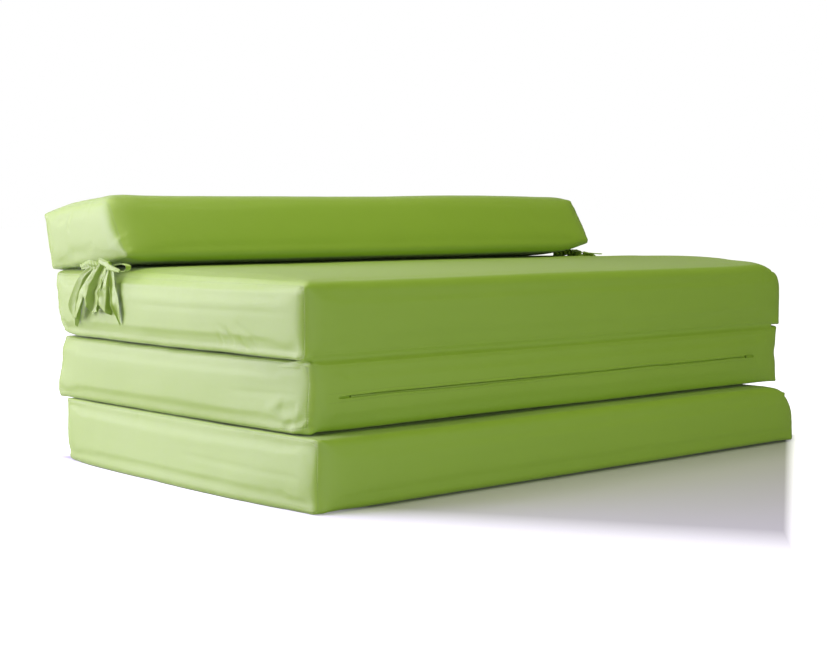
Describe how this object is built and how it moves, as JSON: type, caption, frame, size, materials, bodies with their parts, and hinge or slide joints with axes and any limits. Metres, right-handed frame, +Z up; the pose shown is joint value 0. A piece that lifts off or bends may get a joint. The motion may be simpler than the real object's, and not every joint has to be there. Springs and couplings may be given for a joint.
{
  "type": "sofa bed",
  "caption": "Fold-up foam guest sofa bed: mattress panels in cotton covers hinged in a zigzag, with a leaning tied-on bolster; unfolds flat on the floor.",
  "frame": {"origin": "on the floor, at the centre of the folded sofa's bounding box", "axes": "+X along the front, to the right for someone who looks at the front; -Y is the way the seat faces; +Z up"},
  "size_m": [1.1546, 0.7852, 0.4522],
  "materials": {
    "cover_cotton": "lime green woven cotton",
    "tie_cotton": "lime green cotton tape",
    "foam": "open-cell foam",
    "zip_tape": "woven zip tape",
    "zip_coil": "nylon coil",
    "zip_metal": "zinc enamelled in the cover's green"
  },
  "bodies": {
    "bottom": {"bottom_cover": "cover_cotton", "bottom_foam": "foam", "bottom_zip_tapes": "zip_tape", "bottom_zip_coils": "zip_coil", "rear_fold_hinge": "cover_cotton"},
    "middle": {"middle_cover": "cover_cotton", "middle_foam": "foam", "middle_zip_tapes": "zip_tape", "middle_zip_coils": "zip_coil", "front_fold_hinge": "cover_cotton"},
    "top": {"top_cover": "cover_cotton", "top_foam": "foam", "top_zip_tapes": "zip_tape", "top_zip_coils": "zip_coil", "bolster_hinge": "cover_cotton", "left_tie_knot": "tie_cotton", "left_tie_loop": "tie_cotton", "left_tie_tails": "tie_cotton", "left_panel_strap": "tie_cotton", "right_tie_knot": "tie_cotton", "right_tie_loop": "tie_cotton", "right_tie_tails": "tie_cotton", "right_panel_strap": "tie_cotton"},
    "bolster": {"bolster_cover": "cover_cotton", "bolster_foam": "foam", "bolster_zip_tapes": "zip_tape", "bolster_zip_coils": "zip_coil", "left_bolster_strap": "tie_cotton", "right_bolster_strap": "tie_cotton"},
    "bottom_slider": {"bottom_zip_slider": "zip_metal"},
    "bottom_pull": {"bottom_zip_pull": "zip_metal"},
    "middle_slider": {"middle_zip_slider": "zip_metal"},
    "middle_pull": {"middle_zip_pull": "zip_metal"},
    "top_slider": {"top_zip_slider": "zip_metal"},
    "top_pull": {"top_zip_pull": "zip_metal"},
    "bolster_slider": {"bolster_zip_slider": "zip_metal"},
    "bolster_pull": {"bolster_zip_pull": "zip_metal"}
  },
  "joints": [
    {"name": "middle_fold", "type": "hinge", "parent": "bottom", "child": "middle", "pos_m": [0, 0.33338, 0.109], "axis": [-1, 0, 0], "range_deg": [0, 180], "deforming": ["rear_fold_hinge"]},
    {"name": "top_fold", "type": "hinge", "parent": "middle", "child": "top", "pos_m": [0, -0.35712, 0.2174], "axis": [1, 0, 0], "range_deg": [0, 180], "deforming": ["front_fold_hinge"]},
    {"name": "bolster_fold", "type": "hinge", "parent": "top", "child": "bolster", "pos_m": [0, 0.35988, 0.325], "axis": [-1, 0, 0], "range_deg": [0, 145], "deforming": ["bolster_hinge"]},
    {"name": "bottom_zip_slide", "type": "slide", "parent": "bottom", "child": "bottom_slider", "axis": [1, 0, 0], "range_m": [0, 0.9304]},
    {"name": "bottom_pull_swing", "type": "hinge", "parent": "bottom_slider", "child": "bottom_pull", "pos_m": [-0.4652, 0.31488, 0.054], "axis": [0, 0, -1], "range_deg": [0, 180]},
    {"name": "middle_zip_slide", "type": "slide", "parent": "middle", "child": "middle_slider", "axis": [-1, 0, 0], "range_m": [0, 0.9304]},
    {"name": "middle_pull_swing", "type": "hinge", "parent": "middle_slider", "child": "middle_pull", "pos_m": [0.4652, -0.35712, 0.1624], "axis": [0, 0, -1], "range_deg": [0, 180]},
    {"name": "top_zip_slide", "type": "slide", "parent": "top", "child": "top_slider", "axis": [1, 0, 0], "range_m": [0, 0.9304]},
    {"name": "top_pull_swing", "type": "hinge", "parent": "top_slider", "child": "top_pull", "pos_m": [-0.4652, 0.35188, 0.2708], "axis": [0, 0, -1], "range_deg": [0, 180]},
    {"name": "bolster_zip_slide", "type": "slide", "parent": "bolster", "child": "bolster_slider", "axis": [1, 0, 0], "range_m": [0, 0.9304]},
    {"name": "bolster_pull_swing", "type": "hinge", "parent": "bolster_slider", "child": "bolster_pull", "pos_m": [-0.4652, 0.38365, 0.37106], "axis": [0, -0.3204, -0.9473], "range_deg": [0, 180]}
  ]
}
